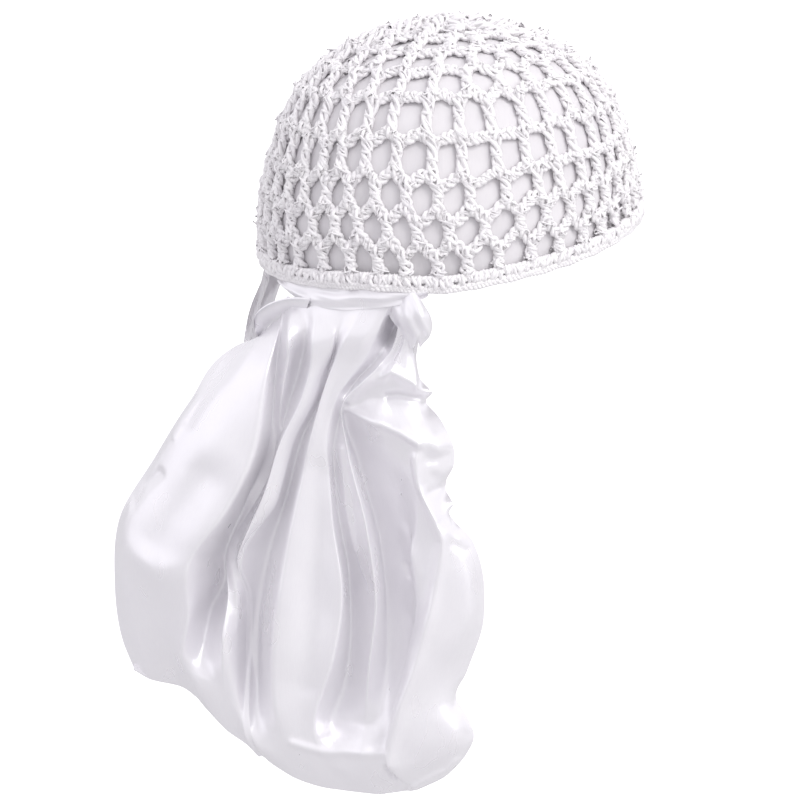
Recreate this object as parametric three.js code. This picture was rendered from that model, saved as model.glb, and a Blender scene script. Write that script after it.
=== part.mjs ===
// Hair bonnet. An open crocheted net crown lies over a thin satin lining and ends in a dense
// crocheted rim band. At the nape a satin band gathers a long satin tail that hangs in deep folds,
// with a frilled selvedge on the wearer's right and a rolled hem. A satin tie hangs from the left
// side of the rim, and a small satin frill stands at the tail's upper right corner.
// Millimetres, +Z up. The wearer faces -Y, so the nape is at +Y and the wearer's right is -X.
// The origin is where the top of the head touches the inside of the lining.
import * as THREE from 'three';
import { mergeVertices } from 'three/addons/utils/BufferGeometryUtils.js';

// Crown sizes
const HALF_LENGTH = 98;        // forehead to nape, outside the net, halved
const HALF_WIDTH = 80;         // side to side, outside the net, halved
const CROWN_HEIGHT = 86.5;     // from the widest level up to the top of the net
const RIM_DROP_MEAN = 15.6;    // how far the rim's edge lies below the widest level, on average
const RIM_DROP_TILT = 15.8;    // added at the nape and taken off at the forehead
const NET_THICKNESS = 3;
const LINING_CLEARANCE = 1;
const LINING_THICKNESS = 1.2;
const PIECE_GAP = 0.4;         // between pieces that meet

// Half the crown's outline, as heights over the widest level and shares of the full half-width
const CROWN_PROFILE = [
  { height: CROWN_HEIGHT, reach: 0 },
  { height: 82.5, reach: 0.31 },
  { height: 74.5, reach: 0.55 },
  { height: 61.5, reach: 0.745 },
  { height: 47.5, reach: 0.852 },
  { height: 33.5, reach: 0.916 },
  { height: 19.5, reach: 0.96 },
  { height: 6.5, reach: 0.99 },
  { height: -7, reach: 1 },
  { height: -21, reach: 0.988 },
  { height: -36, reach: 0.965 },
];

// Net: rings of gaps from the centre of the crown down to the rim band
const NET_ROWS = [6, 12, 17, 20, 22, 22, 21];
const CROWN_CENTRE_RADIUS = 9;
const NET_STRAND = 4.4;        // width of the net's bars between the gaps
const GAP_SHOULDER = 0.3;      // where a gap starts to narrow, as a share of its cell's height

// Bands
const RIM_BAND_HEIGHT = 6.5;
const RIM_BAND_BULGE = 1;      // how far the rim band stands out past the net
const TAIL_BAND_HEIGHT = 7;
const TAIL_BAND_DEPTH = 3.4;
const TAIL_BAND_FROM = -36;    // degrees round the rim from the nape, positive to the wearer's right
const TAIL_BAND_TO = 39;

// Tail
const CLOTH = 1.6;             // thickness of the satin pieces
const TAIL_TURN = 30;          // degrees that the tail's face is turned to the wearer's right
const TUCK_DEPTH = 19;         // how far the hem rolls back under the tail
const TUCK_RISE = 5;
// Shares of the way from the gather to the hem where a fold line's place is given: the shoulder, the
// chest, the belly, the low part, the start of the rolled hem, and the hem itself
const LEVELS = [0.12, 0.3, 0.5, 0.72, 0.9, 1];
const TUCK = 1.1;              // the level of the tucked edge
// A row for each fold line, from the left edge to the right edge as seen from behind. rim is where it
// is gathered, in degrees round the rim; hem is the hem's drop below the nape's rim edge; across and
// out are its place to the right of the nape and out from it, one value for each of LEVELS.
const FOLDS = [
  { name: 'left_edge', rim: -31, hem: 184,
    across: [-44, -65, -89, -97, -91, -84], out: [-20, -24, -26, -26, -24, -24] },
  { name: 'left_crest', rim: -24, hem: 185,
    across: [-34, -50, -70, -80, -79, -71], out: [-10, -5, 0, 0, -2, -10] },
  { name: 'left_border', rim: -17, hem: 190,
    across: [-24, -28, -47, -63, -68, -60], out: [-5, 5, 11, 8, 1, -10] },
  { name: 'valley_1', rim: -13, hem: 199,
    across: [-21, -26, -40, -55, -54, -50], out: [-11, -10, -8, -10, 0, -10] },
  { name: 'ridge_1', rim: -9, hem: 205,
    across: [-14, -21, -38, -50, -47, -44], out: [4, 1, -7, -7, 1, -10] },
  { name: 'valley_2', rim: -6, hem: 209,
    across: [-11, -20, -35, -44, -41, -38], out: [-7, -6, -6, -5, 2, -10] },
  { name: 'ridge_2', rim: -2, hem: 213,
    across: [-3, -15, -29, -37, -33, -30], out: [6, 9, 8, 1, 4, -9] },
  { name: 'valley_3', rim: 3, hem: 217,
    across: [2, -10, -25, -32, -27, -24], out: [-4, -5, -8, -10, 1, -10] },
  { name: 'ridge_3', rim: 9, hem: 220,
    across: [8, -4, -12, -16, -13, -11], out: [7, 10, 13, 12, 7, -8] },
  { name: 'panel', rim: 15, hem: 222,
    across: [15, 5, 2, -2, -3, 0], out: [5, 7, 13, 15, 8, -8] },
  { name: 'panel_right', rim: 18, hem: 224,
    across: [20, 8, 11, 8, 2, 9], out: [3, 0, 7, 12, 7, -8] },
  { name: 'valley_4', rim: 21, hem: 225,
    across: [22, 10, 13, 14, 14, 18], out: [1, -3, -6, -8, 0, -9] },
  { name: 'ridge_4', rim: 24, hem: 225,
    across: [25, 17, 27, 26, 23, 25], out: [5, 5, 8, 7, 1, -9] },
  { name: 'valley_5', rim: 27, hem: 224,
    across: [29, 21, 31, 31, 30, 32], out: [1, -7, -9, -7, 1, -9] },
  { name: 'ridge_5', rim: 30, hem: 222,
    across: [37, 48, 56, 45, 36, 38], out: [9, 13, 15, 13, 7, -8] },
  { name: 'right_lobe', rim: 33, hem: 218,
    across: [41, 53, 65, 64, 58, 51], out: [5, 6, 9, 8, 6, -8] },
  { name: 'right_edge', rim: 36, hem: 209,
    across: [44, 55, 67, 72, 66, 62], out: [-3, -5, -6, -6, -8, -14] },
];
// A row for each lobe or notch of the frilled right edge: at and half are shares of the tail's length
const FRILLS = [
  { at: 0.12, half: 0.05, across: 4, out: 8 },
  { at: 0.28, half: 0.06, across: 4, out: 9 },
  { at: 0.376, half: 0.026, across: 2, out: 6 },
  { at: 0.42, half: 0.026, across: 2, out: 6 },
  { at: 0.81, half: 0.045, across: -6, out: -4 },
  { at: 0.91, half: 0.06, across: 4, out: 4 },
];
const FRILL_START = 14.6;      // the fold index where the frills begin

// Corner frill and left tie
const CORNER_FROM = 24;        // degrees round the rim
const CORNER_TO = 35;
const CORNER_DROP = 19;        // how far the frill reaches below the rim's edge
const TIE_FROM = -80;          // degrees round the rim
const TIE_TO = -50;
// A row for each section of the tie: the middle line's place and the width across it
const TIE_SECTIONS = [
  { drop: 12, x: 70, y: 52, width: 30, turn: 52 },
  { drop: 28, x: 67, y: 64, width: 21, turn: 40 },
  { drop: 46, x: 61, y: 71, width: 19, turn: 30 },
  { drop: 66, x: 57, y: 74, width: 18, turn: 26 },
];

// Colours, as linear shares of white
const YARN = new THREE.MeshStandardMaterial({ color: 0xf4f1f1, roughness: 0.55, metalness: 0 });
const SATIN = new THREE.MeshStandardMaterial({ color: 0xf1eef2, roughness: 0.32, metalness: 0 });
const LINING_SATIN = new THREE.MeshStandardMaterial({ color: 0xe9e5e7, roughness: 0.38, metalness: 0 });

const SEAT = NET_THICKNESS + LINING_CLEARANCE + LINING_THICKNESS;
const WIDEST_Z = SEAT - CROWN_HEIGHT;
const MEAN_HALF = (HALF_LENGTH + HALF_WIDTH) / 2;

const radians = THREE.MathUtils.degToRad;
const lerp = THREE.MathUtils.lerp;

// The value at x of a smooth curve through (xs, ys). A limited curve doesn't overshoot its points.
function smooth(xs, ys, x, limited) {
  const last = xs.length - 1;
  let i = 0;
  while (i < last - 1 && x > xs[i + 1]) i += 1;
  const slope = (k) => (ys[k + 1] - ys[k]) / (xs[k + 1] - xs[k]);
  const tangent = (k) => {
    if (k === 0) return slope(0);
    if (k === last) return slope(last - 1);
    const before = slope(k - 1);
    const after = slope(k);
    if (limited && before * after <= 0) return 0;
    if (limited) return 2 * before * after / (before + after);
    return (before + after) / 2;
  };
  const h = xs[i + 1] - xs[i];
  const s = (x - xs[i]) / h;
  const a = (1 + 2 * s) * (1 - s) * (1 - s);
  const b = s * (1 - s) * (1 - s);
  const c = s * s * (3 - 2 * s);
  const d = s * s * (s - 1);
  return a * ys[i] + b * h * tangent(i) + c * ys[i + 1] + d * h * tangent(i + 1);
}

// Crown surface
const profilePoints = CROWN_PROFILE.map((p) => new THREE.Vector2(p.reach * MEAN_HALF, p.height));
const profile = new THREE.SplineCurve(profilePoints);
profile.arcLengthDivisions = 400;
const PROFILE_LENGTH = profile.getLength();

function rimDrop(angle) {
  return RIM_DROP_MEAN + RIM_DROP_TILT * Math.cos(radians(angle));
}

// The length along the profile from the top of the crown down to a height
function arcToHeight(height) {
  let low = 0;
  let high = 1;
  for (let k = 0; k < 40; k += 1) {
    const middle = (low + high) / 2;
    if (profile.getPointAt(middle).y > height) low = middle;
    else high = middle;
  }
  return low * PROFILE_LENGTH;
}

const rimArcs = new Map();
function rimArc(angle) {
  if (!rimArcs.has(angle)) rimArcs.set(angle, arcToHeight(-rimDrop(angle)));
  return rimArcs.get(angle);
}

// The point of the crown at an angle round it and an arc length down it, inset from the net's outer face
function crownPoint(angle, arc, inset) {
  const u = THREE.MathUtils.clamp(arc / PROFILE_LENGTH, 0, 1);
  const p = profile.getPointAt(u);
  const t = profile.getTangentAt(u);
  const reach = p.x / MEAN_HALF;
  const a = radians(angle);
  const level = arc < 1e-6;
  const side = level ? 0 : -t.y * inset;
  const rise = level ? inset : t.x * inset;
  return new THREE.Vector3(
    -(HALF_WIDTH * reach - side) * Math.sin(a),
    (HALF_LENGTH * reach - side) * Math.cos(a),
    WIDEST_Z + p.y - rise,
  );
}

// The point below or above the rim's edge: down is along the wall, and the wall runs on straight below it
function rimPoint(angle, down, inset) {
  const edge = rimArc(angle);
  if (down <= 0) return crownPoint(angle, edge + down, inset);
  const p = crownPoint(angle, edge, inset);
  p.z -= down;
  return p;
}

// A list of triangles that becomes one closed mesh
class Body {
  constructor() {
    this.points = [];
  }

  triangle(a, b, c) {
    this.points.push(a, b, c);
  }

  quad(a, b, c, d) {
    this.triangle(a, b, c);
    this.triangle(a, c, d);
  }

  mesh(name, material) {
    let volume = 0;
    const p = this.points;
    for (let i = 0; i < p.length; i += 3) volume += p[i].dot(p[i + 1].clone().cross(p[i + 2]));
    const inverted = volume < 0;
    if (inverted) for (let i = 0; i < p.length; i += 3) [p[i + 1], p[i + 2]] = [p[i + 2], p[i + 1]];
    const geometry = mergeVertices(new THREE.BufferGeometry().setFromPoints(p), 1e-4);
    geometry.computeVertexNormals();
    const mesh = new THREE.Mesh(geometry, material);
    mesh.name = name;
    return mesh;
  }
}

// A closed sheet round a grid of middle points, thick across the grid's normals
function sheet(name, grid, thickness, material) {
  const rows = grid.length;
  const columns = grid[0].length;
  const clampRow = (i) => THREE.MathUtils.clamp(i, 0, rows - 1);
  const clampColumn = (j) => THREE.MathUtils.clamp(j, 0, columns - 1);
  const face = (side) => grid.map((row, i) => row.map((p, j) => {
    const along = grid[clampRow(i + 1)][j].clone().sub(grid[clampRow(i - 1)][j]);
    const across = grid[i][clampColumn(j + 1)].clone().sub(grid[i][clampColumn(j - 1)]);
    const normal = along.cross(across).normalize();
    return p.clone().addScaledVector(normal, side * thickness / 2);
  }));
  const front = face(1);
  const back = face(-1);
  const body = new Body();
  for (let i = 0; i < rows - 1; i += 1) {
    for (let j = 0; j < columns - 1; j += 1) {
      body.quad(front[i][j], front[i + 1][j], front[i + 1][j + 1], front[i][j + 1]);
      body.quad(back[i][j], back[i][j + 1], back[i + 1][j + 1], back[i + 1][j]);
    }
    const right = columns - 1;
    body.quad(front[i][0], back[i][0], back[i + 1][0], front[i + 1][0]);
    body.quad(front[i][right], front[i + 1][right], back[i + 1][right], back[i][right]);
  }
  const bottom = rows - 1;
  for (let j = 0; j < columns - 1; j += 1) {
    body.quad(front[0][j], front[0][j + 1], back[0][j + 1], back[0][j]);
    body.quad(front[bottom][j], back[bottom][j], back[bottom][j + 1], front[bottom][j + 1]);
  }
  return body.mesh(name, material);
}

// A bar whose section, a closed ring of points, is swept round angles of the rim
function sweptBar(name, angles, closed, section, material) {
  const rings = angles.map(section);
  const body = new Body();
  const count = rings[0].length;
  const steps = closed ? rings.length : rings.length - 1;
  for (let i = 0; i < steps; i += 1) {
    const a = rings[i];
    const b = rings[(i + 1) % rings.length];
    for (let k = 0; k < count; k += 1) {
      const next = (k + 1) % count;
      body.quad(a[k], a[next], b[next], b[k]);
    }
  }
  if (!closed) {
    const first = rings[0];
    const last = rings[rings.length - 1];
    for (let k = 1; k < count - 1; k += 1) {
      body.triangle(first[0], first[k + 1], first[k]);
      body.triangle(last[0], last[k], last[k + 1]);
    }
  }
  return body.mesh(name, material);
}

function evenly(from, to, steps) {
  return Array.from({ length: steps + 1 }, (_, i) => lerp(from, to, i / steps));
}

// The same angle within one turn, to a millionth of a degree, so that shared corners are identical
function wholeTurn(angle) {
  return THREE.MathUtils.euclideanModulo(Math.round(angle * 1e6), 360e6) / 1e6;
}

// Net crown: each gap sits in a cell between two rings, and the rings hold the corners of both rows
function cellEdges(count, row) {
  const pitch = 360 / count;
  return Array.from({ length: count }, (_, i) => (i + (row % 2) / 2) * pitch);
}

function netCrown() {
  const body = new Body();
  const netArc = (angle, ring) => {
    const end = rimArc(angle) - RIM_BAND_HEIGHT - PIECE_GAP;
    return lerp(CROWN_CENTRE_RADIUS, end, ring / NET_ROWS.length);
  };
  const face = (inset) => (a, ring) => {
    const angle = wholeTurn(a);
    return crownPoint(angle, netArc(angle, ring), inset);
  };
  const outer = face(0);
  const inner = face(NET_THICKNESS);
  NET_ROWS.forEach((count, row) => {
    const pitch = 360 / count;
    const above = row > 0 ? cellEdges(NET_ROWS[row - 1], row - 1) : [];
    const below = row < NET_ROWS.length - 1 ? cellEdges(NET_ROWS[row + 1], row + 1) : [];
    for (const left of cellEdges(count, row)) {
      const inside = (angles) => angles
        .map((a) => left + THREE.MathUtils.euclideanModulo(a - left, 360))
        .filter((a) => a > left + 1e-4 && a < left + pitch - 1e-4)
        .sort((a, b) => a - b);
      const right = left + pitch;
      const top = [left, ...inside(above), right].map((a) => new THREE.Vector2(a, row));
      const bottom = [right, ...inside(below).reverse(), left].map((a) => new THREE.Vector2(a, row + 1));
      const middle = left + pitch / 2;
      const ringRadius = crownPoint(middle, netArc(middle, row + 0.5), 0).setZ(0).length();
      const side = Math.min(0.32, NET_STRAND / 2 / (radians(pitch) * ringRadius));
      const height = netArc(middle, row + 1) - netArc(middle, row);
      const end = NET_STRAND / 2 / height;
      const corner = (p, q) => new THREE.Vector2(left + p * pitch, row + q);
      const gap = [
        corner(side, GAP_SHOULDER), corner(0.5, end), corner(1 - side, GAP_SHOULDER),
        corner(1 - side, 1 - GAP_SHOULDER), corner(0.5, 1 - end), corner(side, 1 - GAP_SHOULDER),
      ];
      const rightMiddle = new THREE.Vector2(right, row + 0.5);
      const leftMiddle = new THREE.Vector2(left, row + 0.5);
      const contour = [...top, rightMiddle, ...bottom, leftMiddle];
      const points = [...contour, ...gap];
      for (const indices of THREE.ShapeUtils.triangulateShape(contour, [gap])) {
        const corners = indices.map((k) => points[k]);
        if (THREE.ShapeUtils.area(corners) < 0) corners.reverse();
        body.triangle(...corners.map((p) => outer(p.x, p.y)));
        body.triangle(...corners.reverse().map((p) => inner(p.x, p.y)));
      }
      gap.forEach((p, k) => {
        const next = gap[(k + 1) % gap.length];
        body.quad(outer(p.x, p.y), outer(next.x, next.y), inner(next.x, next.y), inner(p.x, p.y));
      });
      if (row === NET_ROWS.length - 1) {
        body.quad(outer(left, row + 1), outer(right, row + 1), inner(right, row + 1), inner(left, row + 1));
      }
      if (row === 0) {
        body.triangle(crownPoint(0, 0, 0), outer(right, 0), outer(left, 0));
        body.triangle(crownPoint(0, 0, NET_THICKNESS), inner(left, 0), inner(right, 0));
      }
    }
  });
  return body;
}

// Lining: a plain closed cap inside the net, open at the head
function lining() {
  const around = 30;
  const down = 10;
  const inset = NET_THICKNESS + LINING_CLEARANCE;
  const at = (i, j, depth) => {
    const angle = 360 * j / around;
    const arc = (rimArc(angle) - 1) * i / down;
    return crownPoint(angle, arc, inset + depth);
  };
  const outer = (i, j) => at(i, j, 0);
  const inner = (i, j) => at(i, j, LINING_THICKNESS);
  const body = new Body();
  for (let j = 0; j < around; j += 1) {
    const next = (j + 1) % around;
    for (let i = 1; i < down; i += 1) {
      body.quad(outer(i, j), outer(i + 1, j), outer(i + 1, next), outer(i, next));
      body.quad(inner(i, j), inner(i, next), inner(i + 1, next), inner(i + 1, j));
    }
    body.triangle(outer(0, 0), outer(1, j), outer(1, next));
    body.triangle(inner(0, 0), inner(1, next), inner(1, j));
    body.quad(outer(down, j), inner(down, j), inner(down, next), outer(down, next));
  }
  return body.mesh('lining', LINING_SATIN);
}

// The section of a band with softened corners, between two insets and two drops
function bandSection(angle, outerInset, innerInset, top, bottom) {
  const soft = 0.3;
  const inset = (s) => lerp(outerInset, innerInset, s);
  const down = (s) => lerp(top, bottom, s);
  return [
    [0, soft], [soft, 0], [1 - soft, 0], [1, soft], [1, 1 - soft], [1 - soft, 1], [soft, 1], [0, 1 - soft],
  ].map(([s, t]) => rimPoint(angle, down(t), inset(s)));
}

function rimBand() {
  const around = 44;
  const angles = evenly(0, 360, around).slice(0, around);
  const section = (angle) => bandSection(angle, -RIM_BAND_BULGE, NET_THICKNESS, -RIM_BAND_HEIGHT, 0);
  return sweptBar('rim_band', angles, true, section, YARN);
}

function tailBand() {
  const face = PIECE_GAP;
  const back = face + TAIL_BAND_DEPTH;
  const top = PIECE_GAP;
  const section = (angle) => bandSection(angle, face, back, top, top + TAIL_BAND_HEIGHT);
  return sweptBar('tail_band', evenly(TAIL_BAND_FROM, TAIL_BAND_TO, 16), false, section, SATIN);
}

// Tail: a sheet lofted through the fold lines
const TAIL_TOP = 2 * PIECE_GAP + TAIL_BAND_HEIGHT + 0.2;
const TAIL_INSET = 2;
const napeEdge = rimPoint(0, 0, TAIL_INSET);
const turn = radians(TAIL_TURN);
const acrossAxis = new THREE.Vector3(-Math.cos(turn), -Math.sin(turn), 0);
const outAxis = new THREE.Vector3(-Math.sin(turn), Math.cos(turn), 0);

function foldLine(fold) {
  const start = rimPoint(fold.rim, TAIL_TOP, TAIL_INSET);
  const fromNape = start.clone().sub(napeEdge);
  const hemOut = fold.out[fold.out.length - 1];
  const hemAcross = fold.across[fold.across.length - 1];
  return {
    levels: [0, ...LEVELS, TUCK],
    across: [fromNape.dot(acrossAxis), ...fold.across, hemAcross],
    out: [fromNape.dot(outAxis), ...fold.out, hemOut - TUCK_DEPTH],
    top: -fromNape.z,
    hem: fold.hem,
  };
}
const foldLines = FOLDS.map(foldLine);

function tailPoint(index, v) {
  const indices = foldLines.map((_, i) => i);
  const at = (read, limited) => smooth(indices, foldLines.map(read), index, limited);
  let across = at((f) => smooth(f.levels, f.across, v, false), false);
  let out = at((f) => smooth(f.levels, f.out, v, false), true);
  const tucked = Math.max(0, v - 1) / (TUCK - 1);
  const drop = at((f) => lerp(f.top, f.hem, Math.min(v, 1)), false) - TUCK_RISE * tucked;
  const edge = THREE.MathUtils.smoothstep(index, FRILL_START, foldLines.length - 1);
  for (const frill of FRILLS) {
    const away = Math.abs(v - frill.at) / frill.half;
    const lobe = away < 1 ? Math.cos(away * Math.PI / 2) ** 2 : 0;
    across += edge * lobe * frill.across;
    out += edge * lobe * frill.out;
  }
  return napeEdge.clone()
    .addScaledVector(acrossAxis, across)
    .addScaledVector(outAxis, out)
    .add(new THREE.Vector3(0, 0, -drop));
}

function tail() {
  const rows = [
    ...evenly(0, 0.48, 15),
    ...evenly(0.53, 0.77, 4),
    ...evenly(0.81, 0.97, 4),
    1,
    TUCK,
  ];
  const columns = evenly(0, foldLines.length - 1, 2 * (foldLines.length - 1));
  return sheet('tail', rows.map((v) => columns.map((c) => tailPoint(c, v))), CLOTH, SATIN);
}

// Corner frill: a short flap of satin that stands out from the rim and curls back under itself
function cornerFrill() {
  const standOff = 1.5;
  const columns = evenly(CORNER_FROM, CORNER_TO, 6);
  const rows = evenly(0, 1, 9);
  const grid = rows.map((v) => columns.map((angle) => {
    const flare = (angle - CORNER_FROM) / (CORNER_TO - CORNER_FROM);
    const bulge = lerp(3, 8, flare);
    const reach = lerp(0.8, 1, Math.sin(Math.PI * flare * 0.75)) * CORNER_DROP;
    const swing = Math.PI * 1.25 * v;
    const falling = Math.min(swing, Math.PI);
    const curl = 5 * (swing - falling);
    const down = lerp(-2, reach, (1 - Math.cos(falling)) / 2) - curl;
    const stand = RIM_BAND_BULGE + standOff + bulge * Math.sin(falling);
    return rimPoint(angle + 3 * v * flare, down, -stand);
  }));
  return sheet('corner_frill', grid, CLOTH, SATIN);
}

// Left tie: a satin strap from the left side of the rim, narrowing as it hangs down behind the tail
function leftTie() {
  const columns = evenly(-1, 1, 4);
  const drops = TIE_SECTIONS.map((s) => s.drop);
  const read = (key, drop) => smooth(drops, TIE_SECTIONS.map((s) => s[key]), drop, false);
  const rootInset = NET_THICKNESS - CLOTH / 2;
  const rootAngle = (c) => lerp(TIE_TO, TIE_FROM, (c + 1) / 2);
  const root = columns.map((c) => rimPoint(rootAngle(c), PIECE_GAP + CLOTH, rootInset));
  const hanging = evenly(drops[0], drops[drops.length - 1], 7).map((drop) => columns.map((c) => {
    const facing = radians(read('turn', drop));
    const half = read('width', drop) / 2;
    const crumple = 1.6 * Math.cos(1.5 * Math.PI * c);
    return new THREE.Vector3(
      read('x', drop) + c * half * Math.cos(facing) + crumple * Math.sin(facing),
      read('y', drop) - c * half * Math.sin(facing) + crumple * Math.cos(facing),
      napeEdge.z - drop + RIM_DROP_TILT * 0.6,
    );
  }));
  return sheet('left_tie', [root, ...hanging], CLOTH, SATIN);
}

const bonnet = new THREE.Group();
bonnet.add(
  netCrown().mesh('crochet_net', YARN),
  rimBand(),
  lining(),
  tailBand(),
  tail(),
  cornerFrill(),
  leftTie(),
);

export default bonnet;
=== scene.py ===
# The looks of the hair bonnet: crocheted yarn over a satin lining, and a long gathered satin tail.
# Lengths are in millimetres until a mesh is made, and angles round the rim are in degrees from the
# nape, positive to the wearer's right. +Z is up, and the wearer faces -Y.
import math

import bpy
import numpy as np
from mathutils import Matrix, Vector


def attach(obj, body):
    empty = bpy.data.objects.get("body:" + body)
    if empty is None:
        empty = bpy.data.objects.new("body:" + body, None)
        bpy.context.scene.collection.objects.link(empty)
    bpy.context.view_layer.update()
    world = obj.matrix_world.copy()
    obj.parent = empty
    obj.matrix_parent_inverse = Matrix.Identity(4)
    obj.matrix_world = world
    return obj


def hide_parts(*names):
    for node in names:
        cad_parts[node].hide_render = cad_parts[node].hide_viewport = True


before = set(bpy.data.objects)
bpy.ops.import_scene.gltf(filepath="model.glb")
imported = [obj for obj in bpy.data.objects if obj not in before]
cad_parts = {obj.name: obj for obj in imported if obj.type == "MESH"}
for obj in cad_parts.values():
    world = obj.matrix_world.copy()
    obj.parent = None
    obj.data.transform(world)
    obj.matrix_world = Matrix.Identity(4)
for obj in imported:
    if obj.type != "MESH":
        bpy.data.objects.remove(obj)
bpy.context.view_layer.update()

MM = 0.001

# Crown sizes
HALF_LENGTH = 98
HALF_WIDTH = 80
CROWN_HEIGHT = 86.5  # from the widest level to the top
RIM_DROP_MEAN = 15.6  # from the widest level down to the rim's edge
RIM_DROP_TILT = 15.8  # how much lower that edge is at the nape, and higher at the brow
RIM_LIFT = 5.2  # how far the tail's gather pulls the rim up at the nape
SEAT = 5.2  # from the top of the wearer's head to the top of the net
WIDEST_Z = SEAT - CROWN_HEIGHT
MEAN_HALF = (HALF_LENGTH + HALF_WIDTH) / 2
# Half the crown's outline, as heights over the widest level and shares of the full half-width
CROWN_PROFILE = [
    (86.5, 0), (82.5, 0.31), (74.5, 0.55), (61.5, 0.745), (47.5, 0.852), (33.5, 0.916),
    (19.5, 0.96), (6.5, 0.99), (-7, 1), (-21, 0.988), (-36, 0.965),
]

# Net
NET_DEPTH = 2.2  # from the outside of the crown in to the middle of the yarn
CENTRE_RING = 4  # length from the crown's centre to the first round of chain
# A row for each round of gaps, from the crown's centre down: its height and how many gaps it has
NET_ROUNDS = [
    (14, 6), (16, 11), (15, 17), (14.5, 23), (15.5, 28), (19.5, 34), (17.5, 37), (15, 39), (14, 40),
    (12.5, 40),
]
STEEP_ROUND = 5  # the crown hardly widens from this round of chain down
ZIGZAG = 2.7  # how far the chains swing up to a knot and down to the next post
ZIGZAG_SHARE = 0.22  # the most of a gap's width that this may be
POST_JITTER = 0.09  # how far posts stray from even places, as a share of a gap
RIM_BAND_HEIGHT = 6.5

# Stitches
YARN = 1.12  # radius of one strand
FIBRE = 0.42  # radius of a loose ply
PLIES = 3  # fine plies that show along a strand
TOP_EXTRA = 1.6  # how much wider the chains and posts are in the dense top rounds
CHAIN_WIDE = 1.85  # half the width of a chain's plait
CHAIN_UNEVEN = 0.35
CHAIN_DEEP = 0.65  # how far the plait's strands pass over and under each other
CHAIN_CORE = 1.25  # radius of the yarn inside a chain
POST_CORE = 1.15
CORE_SUNK = 0.3  # how far these cores lie behind the strands
POST_WIDE = 1.5  # how far a post's strands wind from its middle
POST_FLARE = 1.7  # how much further they do so at its ends
POST_FLATNESS = 0.75  # a post's depth as a share of its width
POST_BOW = 0.5  # how far its middle bows out
PLY_REACH = 2.0  # how far loose plies wander from the middle of a chain
KNOT = 0.85  # radius of the yarn in a knot
SLACK_KNOT = 0.75
STITCH_TOP = -6.4  # where the rim's slanted stitches start, over its edge
STITCH_LENGTH = 5.2

# Lining
LINING_DEPTH = 3.9  # from the outside of the crown in to the lining
LINING_SLACK = 0.6
LINING_SHORT = 1.2  # how far it ends above the rim's edge

# Tail
TAIL_TURN = 30  # how far its face is turned from the nape to the wearer's right
TAIL_BAND_FROM = -18  # the angles round the rim between which its band runs
TAIL_BAND_TO = 38
TAIL_BAND_HEIGHT = 11.5
BAND_TOP = -1.5  # the band's top, a little over the rim's edge
BAND_INSET = 1.2  # from the outside of the crown in to the middle of the band
BAND_BULGE = 1.1  # how far its faces stand off that middle
BAND_PLEATS = 0.75  # how high the folds along it are
TAIL_TOP = 3  # the gather's drop below the nape's rim edge
TAIL_INSET = 2  # from the outside of the crown in to the gather
TAIL_WAVES = 0.3  # how uneven the whole tail is
COLUMNS_PER_FOLD = 15
HEM_FROM = 0.88  # the share of its length below which the mesh is finer
PUFF = 4.0  # how far the gathered cloth stands out just below the band
PUFF_DROP = 16  # the drop at which it stands out most
PUFF_SPREAD = 9  # how far above and below that it reaches
PUFF_BEGINS = (3.5, 5)  # the rows of FOLDS between which it grows
PUFF_ENDS = (11, 12.5)  # and those between which it fades
LIP = 0.7  # radius of the rolled hem
TUCK = 1.1  # where the cloth tucked under the hem ends, as a share of the length
TUCK_RISE = 5  # how far that cloth rises
TUCK_DEPTH = 19  # how far it would go in
TUCK_SHARE = 0.8  # the share of that depth which it goes in, away from the side edges
TUCK_FADE = 3  # the rows of FOLDS over which that share falls to none at a side edge
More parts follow.
